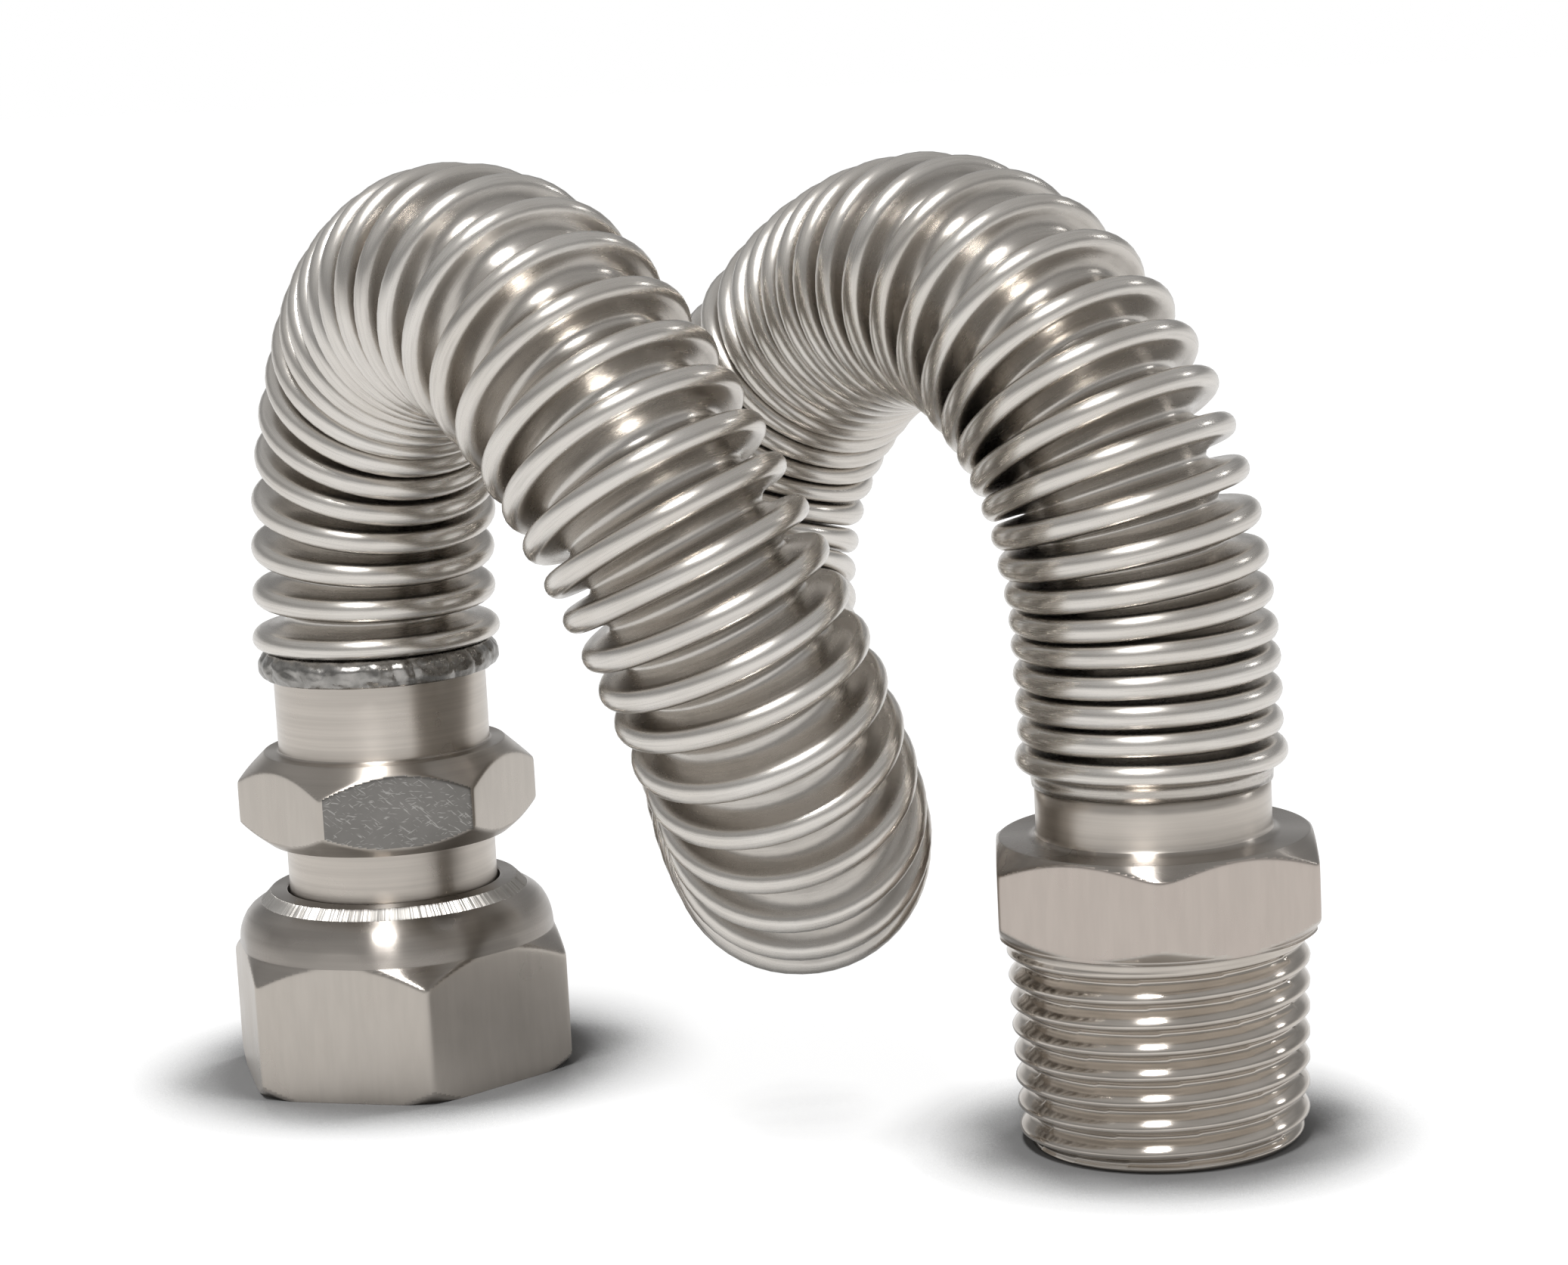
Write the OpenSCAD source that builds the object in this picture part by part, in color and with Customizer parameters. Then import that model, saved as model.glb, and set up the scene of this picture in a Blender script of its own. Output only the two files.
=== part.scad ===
// A short flexible metal hose with annular convolutions, bent by hand into two arches.
// It stands on its two end fittings: a union with a free turning nut, and a taper threaded nipple.
// The origin is the centre of the nut's open end. +X runs to the nipple and +Z is up.

/* [Whole] */
// Distance between the upright axes of the two fittings
foot_gap = 63.5; // [61:0.5:68]
// Height of the hose's axis at its low turn between the arches
turn_height = 20; // [18:0.5:23]
// Radius of the bore through both fittings
bore_r = 6; // [5:0.1:6.1]

/* [Hose] */
// Radius over the crests of the convolutions
crest_r = 9.25; // [8.8:0.05:9.6]
// Radius at the foot of the valleys between them
valley_r = 6.45; // [6.3:0.05:7]
// Thickness of the hose's sheet metal
sheet = 0.3; // [0.2:0.05:0.35]
// Width of one crest, measured along the hose
crest_w = 1; // [0.6:0.1:1.2]
// Outside radius of the plain cuff at each end of the hose
cuff_r = 8.1; // [7.6:0.05:8.15]
// Length of the plain cuff at the union
union_cuff = 1.2; // [1.15:0.05:1.5]
// Length of the plain cuff at the nipple
nipple_cuff = 1.05; // [1.02:0.01:1.1]

/* [Swivel nut] */
// Width of the nut across its flats
nut_flats = 24; // [23:0.5:27]
// Height of the nut
nut_h = 14.5; // [13.5:0.5:17]
// Radius of the hole in the nut's lip, which runs on the stem
lip_r = 8.2; // [8.1:0.05:8.4]
// Thickness of the nut's lip
lip_h = 1.6; // [1.2:0.1:2]
// Height of the nut's rounded shoulder
dome_h = 4; // [3:0.25:5]
// Minor radius of the nut's thread, which is drawn as a plain bore
nut_thread_r = 9.3; // [9.15:0.05:9.5]
// Length of the nut's thread
nut_thread_h = 8; // [7:0.25:8.5]
// Radius of the turned recess above the nut's thread
recess_r = 10; // [9.9:0.05:10.3]

/* [Union stem] */
// Outside radius of the stem where the nut runs on it
stem_r = 8; // [7.8:0.05:8.05]
// Length of stem that shows between the nut and the stem's hexagon
stem_show = 3.8; // [2:0.2:6]
// Width of the stem's hexagon across its flats
stem_flats = 20; // [19:0.5:22]
// Height of the stem's hexagon
stem_hex_h = 6.9; // [5:0.5:10]
// Length of the plain neck above the stem's hexagon
stem_neck = 6.8; // [5:0.2:9]
// Radius of the stem's neck
stem_neck_r = 8.1; // [8.1:0.05:8.4]

/* [Washer and ring] */
// Thickness of the sealing washer
washer_h = 1.9; // [1.5:0.1:2]
// Outside radius of the sealing washer
washer_r = 9.8; // [9.6:0.05:9.85]
// Radius of the retaining ring's wire
wire_r = 0.8; // [0.6:0.05:0.8]
// Distance of the retaining ring's wire from the stem's surface
wire_out = 0.2; // [0.1:0.05:0.4]

/* [Male nipple] */
// Length of the threaded end below the nipple's hexagon
thread_len = 15; // [13:0.5:18]
// Radius over the thread's crests at the open end
thread_r = 10.15; // [9.9:0.05:10.6]
// Thread pitch
thread_pitch = 1.814; // [1.5:0.001:2.2]
// Depth of the thread
thread_depth = 1.1; // [0.8:0.05:1.2]
// Rise of the thread's radius for each millimetre of its length
thread_taper = 0.03125; // [0:0.00125:0.04]
// Width of the nipple's hexagon across its flats
nipple_flats = 22; // [21:0.5:25]
// Height of the nipple's hexagon
nipple_hex_h = 6.8; // [5:0.5:10]
// Length of the nipple's neck above its hexagon
nipple_neck = 3.7; // [3:0.2:6]
// Radius of the nipple's neck
nipple_neck_r = 8.2; // [8.15:0.05:8.6]

/* [Weld beads] */
// How far the bead at the union stands out from the cuff
union_bead = 1.15; // [0.8:0.05:1.3]
// Height of the bead at the union
union_bead_h = 2.1; // [1.8:0.1:2.1]
// How far the seam at the nipple stands out from the cuff
seam_out = 0.28; // [0.2:0.02:0.4]
// Height of the seam at the nipple
seam_h = 1; // [0.8:0.05:1]

/* [Hidden] */
$fn = 96;

// The directions in which one corner of each hexagon points, in degrees from +X
nut_corner = -48.4;
stem_corner = -22.7;
nipple_corner = -65.9;

// How each hexagon's corners are turned down: inside its flats, and along its corners
stem_low_cut = [0.7, 1.4];
stem_high_cut = [0.75, 2.05];
nipple_cut = [0.2, 1.4];
// The nut's shoulder: how far its rounding reaches past the flats, and its width
dome_over = 0.1;
dome_w = 3.2;
// Cuts at the nut's foot and at its lip, at the thread's open end, and the fillet under the nipple's neck
nut_foot_cut = 0.5;
lip_cut = 0.3;
thread_end_cut = 1.2;
neck_fillet = 0.6;
// How far the plain band above the thread lies below its crests
runout_depth = 0.35;
// How far the bead at the union reaches down over the stem
bead_drop = 1;

// Play left between the turning nut's parts and the fixed ones
end_play = 0.1;
groove_play = 0.05;
// How far the cutting shapes run past the faces that they cut
past = 1;

// Heights up the union, from the nut's open end
ledge_z = nut_thread_h;
lip_z = nut_h - lip_h;
wire_z = lip_z - wire_r - end_play;
stem_foot_z = ledge_z + washer_h + end_play;
stem_hex_z = nut_h + stem_show;
stem_neck_z = stem_hex_z + stem_hex_h;
union_z = stem_neck_z + stem_neck;
ring_r = stem_r + wire_out;

// Heights up the nipple, from its open end
nipple_neck_z = thread_len + nipple_hex_h;
nipple_z = nipple_neck_z + nipple_neck;

// The hose's route from the union to the nipple, through hand chosen points.
// The first arch is set by the union's height, the turn by its own and the second arch by the nipple's.
route = [
    [0, 0, union_z], [0, 0, union_z + 7], [1.5, -1, union_z + 15.5], [6, -4, union_z + 24],
    [13, -9.5, union_z + 29], [22, -15, union_z + 29], [30, -18.5, union_z + 24],
    [36.5, -20.5, union_z + 16], [40.5, -19, union_z + 6.5],
    [42.5, -15.5, turn_height + 9], [41, -9, turn_height + 1], [36, -1.5, turn_height - 0.5],
    [30, 6, turn_height + 1.5], [24.5, 13, turn_height + 9],
    [22, 17, nipple_z + 12.5], [24.5, 18.5, nipple_z + 22.5], [31.5, 16.5, nipple_z + 30],
    [40, 10.5, nipple_z + 34],
    [foot_gap - 14.5, 4.5, nipple_z + 34.5], [foot_gap - 6.5, 0.5, nipple_z + 30],
    [foot_gap - 1.5, -1, nipple_z + 22], [foot_gap, 0, nipple_z + 12], [foot_gap, 0, nipple_z]
];

// How far apart the convolutions stand, at distances along the hose from the union.
// They are pushed together over the arches and near the nipple, and drawn apart elsewhere.
spacing = [
    [0, 3.35], [16, 3.35], [22, 3], [27, 2.3], [35, 2.2], [40, 3], [46, 3.55], [56, 3.5], [60, 2.9],
    [75, 2.9], [80, 3.2], [90, 3.2], [96, 2.7], [128, 2.8], [136, 3.15], [150, 3.1], [155, 2.5],
    [165, 2.5], [170, 3.35], [183, 3.3], [188, 2.6], [200, 2.5], [204, 2.1], [220, 2.05]
];

// Length over which the hose widens from its cuff to its first crest
cuff_step = 0.3;
// Corners of each ring of the hose's surface, and steps of the curve between two route points
sides = 15;
steps = 12;
// A direction that the hose never runs along, from which its rings are turned
across = [0.5, 0.85, 0];

// The route as a smooth curve: its end points are held by one more point beyond each
last = len(route) - 1;
held = concat([2 * route[0] - route[1]], route, [2 * route[last] - route[last - 1]]);
function curve_point(i, t) =
    (pow(1 - t, 3) * held[i] + (3 * pow(t, 3) - 6 * t * t + 4) * held[i + 1]
     + (3 * t * t + 3 * t + 1 - 3 * pow(t, 3)) * held[i + 2] + pow(t, 3) * held[i + 3]) / 6;
function curve_heading(i, t) =
    (-pow(1 - t, 2) * held[i] + (3 * t * t - 4 * t) * held[i + 1]
     + (1 + 2 * t - 3 * t * t) * held[i + 2] + t * t * held[i + 3]) / 2;
at = concat([for (i = [0 : last - 1], k = [0 : steps - 1]) [i, k / steps]], [[last - 1, 1]]);
points = [for (a = at) curve_point(a[0], a[1])];
headings = [for (a = at) let(h = curve_heading(a[0], a[1])) h / norm(h)];

// Distance along the hose at each of those points, and tables to look places up by distance
reach = [for (i = 0, s = 0; i < len(points);
              s = s + (i + 1 < len(points) ? norm(points[i + 1] - points[i]) : 0), i = i + 1) s];
hose_len = reach[len(reach) - 1];
function table(values, axis) = [for (i = [0 : len(values) - 1]) [reach[i], values[i][axis]]];
point_x = table(points, 0);
point_y = table(points, 1);
point_z = table(points, 2);
heading_x = table(headings, 0);
heading_y = table(headings, 1);
heading_z = table(headings, 2);
function unit(v) = v / norm(v);

// One ring of points about the hose's axis, at a distance along it and a radius
function ring(s, r) =
    let(centre = [lookup(s, point_x), lookup(s, point_y), lookup(s, point_z)],
        ahead = unit([lookup(s, heading_x), lookup(s, heading_y), lookup(s, heading_z)]),
        side = unit(across - (across * ahead) * ahead),
        up = cross(ahead, side))
    [for (k = [0 : sides - 1]) centre + r * (cos(360 * k / sides) * side + sin(360 * k / sides) * up)];

// Distances of the crests along the hose: stepped off from the union by the spacing, then
// stretched a little so that the last one stands at the nipple's cuff
first_crest = union_cuff + cuff_step + crest_w / 2;
last_crest = hose_len - nipple_cuff - cuff_step - crest_w / 2;
stepped = [for (s = first_crest; s < last_crest; s = s + lookup(s, spacing)) s];
stretch = (last_crest - first_crest) / (stepped[len(stepped) - 1] - first_crest);
crests = [for (s = stepped) first_crest + (s - first_crest) * stretch];
crest_count = len(crests);
function valley(i) = (crests[i] + crests[i + 1]) / 2;

// The hose's section as distance and radius: out along its outside, and back along its inside
outside = concat(
    [[0, cuff_r], [union_cuff, cuff_r]],
    [for (i = [0 : crest_count - 1]) each concat(
        [[crests[i] - crest_w / 2, crest_r], [crests[i] + crest_w / 2, crest_r]],
        i < crest_count - 1 ? [[valley(i), valley_r]] : [])],
    [[hose_len - nipple_cuff, cuff_r], [hose_len, cuff_r]]);
inside_r = valley_r - sheet;
inside_crest_r = crest_r - sheet;
inside = concat(
    [[hose_len, inside_r], [hose_len - nipple_cuff, inside_r]],
    [for (i = [crest_count - 1 : -1 : 0]) each concat(
        [[crests[i], inside_crest_r]],
        i > 0 ? [[valley(i - 1), inside_r]] : [])],
    [[union_cuff, inside_r], [0, inside_r]]);

module corrugated_hose() {
    section = concat(outside, inside);
    count = len(section);
    corners = [for (p = section) each ring(p[0], p[1])];
    faces = [for (i = [0 : count - 1], k = [0 : sides - 1])
        let(a = i * sides, b = ((i + 1) % count) * sides, n = (k + 1) % sides)
        each [[a + k, b + k, b + n], [a + k, b + n, a + n]]];
    color([0.72, 0.70, 0.67]) polyhedron(corners, faces);
}

// A ring of rounded section round the upright axis, standing out from radius r between two heights
module bead(r, z, height, out) {
    rotate_extrude()
        polygon([for (a = [-90 : 18 : 90]) [r + out * cos(a), z + height / 2 + height / 2 * sin(a)]]);
}

// An upright hexagonal bar with one corner pointing in the given direction
module hexagon(flats, height, corner) {
    rotate([0, 0, corner])
        cylinder(r = flats / 2 / cos(30), h = height, $fn = 6);
}

// The same bar with its corners turned down at both ends. Each cut says how far inside the flats
// the end face stops, and how far along the corner the cut reaches.
module turned_hexagon(flats, low, high, corner, low_cut, high_cut) {
    corner_r = flats / 2 / cos(30);
    intersection() {
        translate([0, 0, low])
            hexagon(flats, high - low, corner);
        rotate_extrude()
            polygon([[0, low], [flats / 2 - low_cut[0], low], [corner_r, low + low_cut[1]],
                     [corner_r + past, low + low_cut[1]], [corner_r + past, high - high_cut[1]],
                     [corner_r, high - high_cut[1]], [flats / 2 - high_cut[0], high], [0, high]]);
    }
}

module union_weld_bead() {
    color([0.45, 0.42, 0.38])
        bead(cuff_r, union_z - bead_drop, union_bead_h, union_bead);
}

module union_stem() {
    color([0.66, 0.63, 0.59])
        difference() {
            union() {
                translate([0, 0, stem_foot_z])
                    cylinder(r = stem_r, h = stem_hex_z - stem_foot_z);
                turned_hexagon(stem_flats, stem_hex_z, stem_neck_z, stem_corner,
                               stem_low_cut, stem_high_cut);
                translate([0, 0, stem_neck_z])
                    cylinder(r = stem_neck_r, h = stem_neck);
            }
            translate([0, 0, stem_foot_z - past])
                cylinder(r = bore_r, h = union_z - stem_foot_z + 2 * past);
            rotate_extrude()
                translate([ring_r, wire_z])
                    circle(r = wire_r + groove_play);
        }
}

module swivel_nut() {
    corner_r = nut_flats / 2 / cos(30);
    dome_foot_r = nut_flats / 2 + dome_over;
    dome_top_r = dome_foot_r - dome_w;
    chamfer = corner_r + past - dome_foot_r;
    color([0.66, 0.63, 0.59])
        difference() {
            intersection() {
                hexagon(nut_flats, nut_h, nut_corner);
                rotate_extrude()
                    polygon(concat(
                        [[0, 0], [corner_r - nut_foot_cut, 0], [corner_r + past, nut_foot_cut + past],
                         [corner_r + past, nut_h - dome_h - chamfer]],
                        [for (a = [0 : 15 : 90])
                            [dome_top_r + (dome_foot_r - dome_top_r) * cos(a),
                             nut_h - dome_h + dome_h * sin(a)]],
                        [[0, nut_h]]));
            }
            translate([0, 0, -past])
                cylinder(r = nut_thread_r, h = ledge_z + past);
            translate([0, 0, ledge_z])
                cylinder(r = recess_r, h = lip_z - ledge_z);
            translate([0, 0, ledge_z])
                cylinder(r = lip_r, h = nut_h);
            translate([0, 0, nut_h - lip_cut])
                cylinder(r1 = lip_r, r2 = lip_r + 2 * lip_cut, h = 2 * lip_cut);
        }
}

module retaining_ring() {
    color([0.50, 0.48, 0.45])
        rotate_extrude()
            translate([ring_r, wire_z])
                circle(r = wire_r);
}

module sealing_washer() {
    color([0.16, 0.16, 0.16])
        translate([0, 0, ledge_z])
            difference() {
                cylinder(r = washer_r, h = washer_h);
                translate([0, 0, -past])
                    cylinder(r = bore_r, h = washer_h + 2 * past);
            }
}

// Each turn of the thread is drawn as a ring. The last one runs out into a plain band under the hexagon.
module male_nipple() {
    top_crest = thread_len - thread_pitch / 2;
    turns = floor((top_crest - thread_end_cut) / thread_pitch);
    foot = 0.42 * thread_pitch;
    top = 0.12 * thread_pitch;
    function crest_at(z) = thread_r + thread_taper * z;
    threads = [for (k = [turns : -1 : 0])
        let(z = top_crest - k * thread_pitch, depth = k > 0 ? thread_depth : runout_depth)
        each [[crest_at(z) - thread_depth, z - foot], [crest_at(z), z - top],
              [crest_at(z), z + top], [crest_at(z) - depth, z + foot]]];
    color([0.66, 0.63, 0.59])
        translate([foot_gap, 0, 0])
            difference() {
                union() {
                    rotate_extrude()
                        polygon(concat([[0, 0], [thread_r - thread_depth, 0]], threads,
                                       [[crest_at(thread_len) - runout_depth, thread_len + past],
                                        [0, thread_len + past]]));
                    turned_hexagon(nipple_flats, thread_len, nipple_neck_z, nipple_corner,
                                   nipple_cut, nipple_cut);
                    rotate_extrude()
                        polygon(concat(
                            [[0, nipple_neck_z - past],
                             [nipple_neck_r + neck_fillet, nipple_neck_z - past]],
                            [for (a = [0 : 18 : 90])
                                [nipple_neck_r + neck_fillet * (1 - sin(a)),
                                 nipple_neck_z + neck_fillet * (1 - cos(a))]],
                            [[nipple_neck_r, nipple_z], [0, nipple_z]]));
                }
                translate([0, 0, -past])
                    cylinder(r = bore_r, h = nipple_z + 2 * past);
            }
}

module nipple_weld_seam() {
    color([0.60, 0.57, 0.53])
        translate([foot_gap, 0, 0])
            bead(cuff_r, nipple_z, seam_h, seam_out);
}

corrugated_hose();
union_weld_bead();
union_stem();
swivel_nut();
retaining_ring();
sealing_washer();
male_nipple();
nipple_weld_seam();
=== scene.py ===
import math

import bpy
import numpy as np
from mathutils import Matrix, Vector


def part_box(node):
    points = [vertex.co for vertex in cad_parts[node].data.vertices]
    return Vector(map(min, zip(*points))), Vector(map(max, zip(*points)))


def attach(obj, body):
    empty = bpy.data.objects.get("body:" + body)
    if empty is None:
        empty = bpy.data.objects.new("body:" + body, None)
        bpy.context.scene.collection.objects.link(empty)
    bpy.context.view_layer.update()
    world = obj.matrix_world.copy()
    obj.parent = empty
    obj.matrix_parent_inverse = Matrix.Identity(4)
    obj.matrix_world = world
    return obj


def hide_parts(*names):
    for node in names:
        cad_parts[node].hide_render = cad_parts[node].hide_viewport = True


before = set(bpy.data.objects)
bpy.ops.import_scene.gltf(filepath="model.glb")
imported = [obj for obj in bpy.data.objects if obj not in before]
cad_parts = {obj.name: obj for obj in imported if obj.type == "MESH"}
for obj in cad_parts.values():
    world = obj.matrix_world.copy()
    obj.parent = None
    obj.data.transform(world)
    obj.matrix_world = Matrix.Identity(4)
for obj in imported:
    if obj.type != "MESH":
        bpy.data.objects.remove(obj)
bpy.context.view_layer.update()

# Sizes are in millimetres, as in the part's source, and meshes are made in metres.
MM = 0.001
# Between the axes of the two fittings, and the height at which the hose's low turn hangs
FOOT_GAP = 63.5
TURN_HEIGHT = 20.0
# Where the hose ends on the union and on the nipple
UNION_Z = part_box("union_stem")[1].z / MM
NIPPLE_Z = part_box("male_nipple")[1].z / MM
BORE_R = 6.0
# How many times longer the steps are where a turned surface is plain
LONG_STEP = 6
# A corner with more than this half angle is taken as straight, and from one point of a fillet to
# the next the outline turns by about this or less
STRAIGHT = math.radians(89)
FILLET_TURN = math.radians(18)
# How round a hexagon's corners are, and how far from a flat a face may lie and still have its finish
CORNER_ROUNDING = 0.25
FLAT_PLAY = 0.03
# About a full turn, for angles that are drawn at random
ANY_ANGLE = 6.28
HOSE_BODY = "hose_line"
NUT_BODY = "turning_nut"


def smooth_min(a, b, width):
    """The smaller of a and b, with the edge between them rounded over about that width."""
    return (a + b - np.sqrt((a - b) ** 2 + width ** 2)) / 2


def smooth_max(a, b, width):
    """The larger of a and b, rounded the same way."""
    return (a + b + np.sqrt((a - b) ** 2 + width ** 2)) / 2


def grid_object(name, points, material, finishes=(), along_v=None, height=None):
    """A closed ring-shaped mesh from rows of points, each row a closed loop.

    finishes are (material, mask) pairs, where mask says which faces have that finish instead.
    height is a number for each point, which a material can read."""
    rows, around = points.shape[:2]
    index = np.arange(rows * around).reshape(rows, around)
    right = np.roll(index, -1, axis=1)
    above = np.roll(index, -1, axis=0)
    above_right = np.roll(above, -1, axis=1)
    quads = np.stack([index, right, above_right, above], axis=-1).reshape(-1, 4)
    mesh = bpy.data.meshes.new(name)
    mesh.vertices.add(rows * around)
    mesh.vertices.foreach_set("co", (points.reshape(-1, 3) * MM).astype(np.float32).ravel())
    mesh.loops.add(quads.size)
    mesh.loops.foreach_set("vertex_index", quads.ravel().astype(np.int32))
    mesh.polygons.add(len(quads))
    mesh.polygons.foreach_set("loop_start", np.arange(0, quads.size, 4, dtype=np.int32))
    mesh.polygons.foreach_set("use_smooth", np.ones(len(quads), dtype=bool))
    u = np.arange(around + 1) / around
    v = np.arange(rows + 1) / rows if along_v is None else np.append(along_v, along_v[-1])
    k = np.tile(np.arange(around), rows)
    i = np.repeat(np.arange(rows), around)
    uv = np.stack([np.stack([u[k], v[i]], -1), np.stack([u[k + 1], v[i]], -1),
                   np.stack([u[k + 1], v[i + 1]], -1), np.stack([u[k], v[i + 1]], -1)], axis=1)
    layer = mesh.uv_layers.new(name="UVMap")
    mesh.update(calc_edges=True)
    layer.data.foreach_set("uv", uv.ravel().astype(np.float32))
    mesh.materials.append(material)
    chosen = np.zeros((rows, around), dtype=np.int32)
    for number, (finish, mask) in enumerate(finishes, start=1):
        mesh.materials.append(finish)
        chosen[mask] = number
    mesh.polygons.foreach_set("material_index", chosen.ravel())
    if height is not None:
        values = mesh.attributes.new("height", "FLOAT", "POINT").data
        values.foreach_set("value", height.ravel().astype(np.float32))
    mesh.validate()
    piece = bpy.data.objects.new(name, mesh)
    bpy.context.scene.collection.objects.link(piece)
    return piece


def filleted(corners, step, plain_r):
    """A closed outline through (radius, height, fillet) corners, as points about a step apart.

    Where it stays within plain_r of the axis, the surface is plain and has longer steps."""
    outline = []
    count = len(corners)
    for i in range(count):
        before = np.array(corners[i - 1][:2], float)
        here = np.array(corners[i][:2], float)
        after = np.array(corners[(i + 1) % count][:2], float)
        fillet = corners[i][2]
        to_before = (before - here) / np.linalg.norm(before - here)
        to_after = (after - here) / np.linalg.norm(after - here)
        half = math.acos(max(-1.0, min(1.0, float(to_before @ to_after)))) / 2
        if fillet <= 0 or half > STRAIGHT:
            outline.append(here)
            continue
        back = fillet / math.tan(half)
        start, end = here + to_before * back, here + to_after * back
        middle = (to_before + to_after) / np.linalg.norm(to_before + to_after)
        centre = here + middle * fillet / math.sin(half)
        turns = max(3, int(math.ceil((math.pi - 2 * half) / FILLET_TURN)))
        for k in range(turns + 1):
            mix = start + (end - start) * k / turns - centre
            outline.append(centre + mix / np.linalg.norm(mix) * fillet)
    points = []
    for here, after in zip(outline, outline[1:] + outline[:1]):
        here_step = step * (LONG_STEP if max(here[0], after[0]) < plain_r else 1)
        pieces = max(1, int(math.ceil(np.linalg.norm(after - here) / here_step)))
        points += [here + (after - here) * k / pieces for k in range(pieces)]
    return np.array(points)


def turned(name, corners, step, around, material, shape=None, centre_x=0.0, finishes=(), plain_r=0.0):
    """A piece turned about an upright axis. shape(radius, height, angle) may change its radius.

    finishes are (material, test) pairs, where test(radius, height, angle) picks faces."""
    outline = filleted(corners, step, plain_r)
    angle = np.arange(around) / around * 2 * math.pi
    radius = np.repeat(outline[:, :1], around, axis=1)
    height = np.repeat(outline[:, 1:], around, axis=1)
    turn = np.repeat(angle[None, :], len(outline), axis=0)
    if shape is not None:
        radius = shape(radius, height, turn)
    points = np.stack([centre_x + radius * np.cos(turn), radius * np.sin(turn), height], axis=-1)
    masks = [(finish, test(radius, height, turn)) for finish, test in finishes]
    return grid_object(name, points, material, masks)


def on_flats(flats, corner_deg, low, high, rounding=CORNER_ROUNDING):
    """A test that picks the flat faces of a hexagon. rounding may be a number or go by angle."""
    def test(radius, height, angle):
        width = rounding(angle) if callable(rounding) else rounding
        near = np.abs(radius - hexagon_radius(angle, flats, corner_deg, width)) < FLAT_PLAY
        return near & (height > low) & (height < high)
    return test


def hexagon_radius(angle, flats, corner_deg, rounding=CORNER_ROUNDING):
    """Radius of a hexagon with rounded corners, one of which points at corner_deg."""
    within = np.mod(np.degrees(angle) - corner_deg, 60.0) - 30.0
    sides = [flats / 2 / np.cos(np.radians(within - lean)) for lean in (-60.0, 0.0, 60.0)]
    return smooth_min(sides[1], smooth_min(sides[0], sides[2], 0.01), rounding)


# The thread's form: the shares of a pitch that its two flanks take, and how hollow they are
STEEP_FLANK, LONG_FLANK, HOLLOW = 0.36, 0.64, 1.7


def ridge(phase):
    """A rounded thread form: 1 at the crest, where the phase is a whole number, and 0 at the root."""
    turn = np.mod(phase + 0.5, 1.0) - 0.5
    away = np.where(turn < 0, -turn / STEEP_FLANK, turn / LONG_FLANK)
    away = np.clip(away, 0, 1)
    return np.where(turn < -STEEP_FLANK, 0.0, (1 - away) ** HOLLOW * (1 + HOLLOW * away))


# Camera, at the place and with the lens that the photograph was taken with

CAMERA_MM = (162.97, -241.16, 79.79)
YAW, PITCH, ROLL = 0.487, 0.163, 0.052
SENSOR_WIDTH = 36.0
FOCAL_PX, IMAGE_WIDTH_PX = 5057.3, 2074.0


def make_camera():
    """The camera, which looks along YAW and PITCH and leans by ROLL."""
    ahead = Vector((-math.sin(YAW) * math.cos(PITCH), math.cos(YAW) * math.cos(PITCH), -math.sin(PITCH)))
    level = Vector((math.cos(YAW), math.sin(YAW), 0))
    down = ahead.cross(level)
    right = level * math.cos(ROLL) + down * math.sin(ROLL)
    below = down * math.cos(ROLL) - level * math.sin(ROLL)
    data = bpy.data.cameras.new("camera")
    data.sensor_width = SENSOR_WIDTH
    data.lens = FOCAL_PX / IMAGE_WIDTH_PX * SENSOR_WIDTH
    data.clip_start, data.clip_end = 0.01, 20
    camera = bpy.data.objects.new("camera", data)
    bpy.context.scene.collection.objects.link(camera)
    turn = Matrix((right, -below, -ahead)).transposed().to_4x4()
    camera.matrix_world = Matrix.Translation(Vector(CAMERA_MM) * MM) @ turn
    bpy.context.scene.camera = camera


# Materials

def shader(name):
    """A new material, its nodes, its links and its main shader."""
    material = bpy.data.materials.new(name)
    material.use_nodes = True
    nodes, links = material.node_tree.nodes, material.node_tree.links
    return material, nodes, links, nodes["Principled BSDF"]


def noise(nodes, links, source, scale, stretch=(1, 1, 1), detail=4.0, rough=0.55):
    """A noise texture, stretched along the axes of its coordinates."""
    mapping = nodes.new("ShaderNodeMapping")
    mapping.inputs["Scale"].default_value = stretch
    links.new(source, mapping.inputs["Vector"])
    texture = nodes.new("ShaderNodeTexNoise")
    texture.inputs["Scale"].default_value = scale
    texture.inputs["Detail"].default_value = detail
    texture.inputs["Roughness"].default_value = rough
    links.new(mapping.outputs["Vector"], texture.inputs["Vector"])
    return texture.outputs["Fac"]


def ramp(nodes, links, source, stops):
    """A colour ramp: stops are (position, colour) pairs."""
    node = nodes.new("ShaderNodeValToRGB")
    elements = node.color_ramp.elements
    elements[0].position, elements[0].color = stops[0][0], (*stops[0][1], 1)
    elements[1].position, elements[1].color = stops[-1][0], (*stops[-1][1], 1)
    for position, colour in stops[1:-1]:
        elements.new(position).color = (*colour, 1)
    links.new(source, node.inputs["Fac"])
    return node.outputs["Color"]


def between(nodes, links, source, low, high):
    """A number from low to high as the source goes from 0.3 to 0.7."""
    node = nodes.new("ShaderNodeMapRange")
    node.inputs["From Min"].default_value = 0.3
    node.inputs["From Max"].default_value = 0.7
    node.inputs["To Min"].default_value = low
    node.inputs["To Max"].default_value = high
    links.new(source, node.inputs["Value"])
    return node.outputs["Result"]


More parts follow.
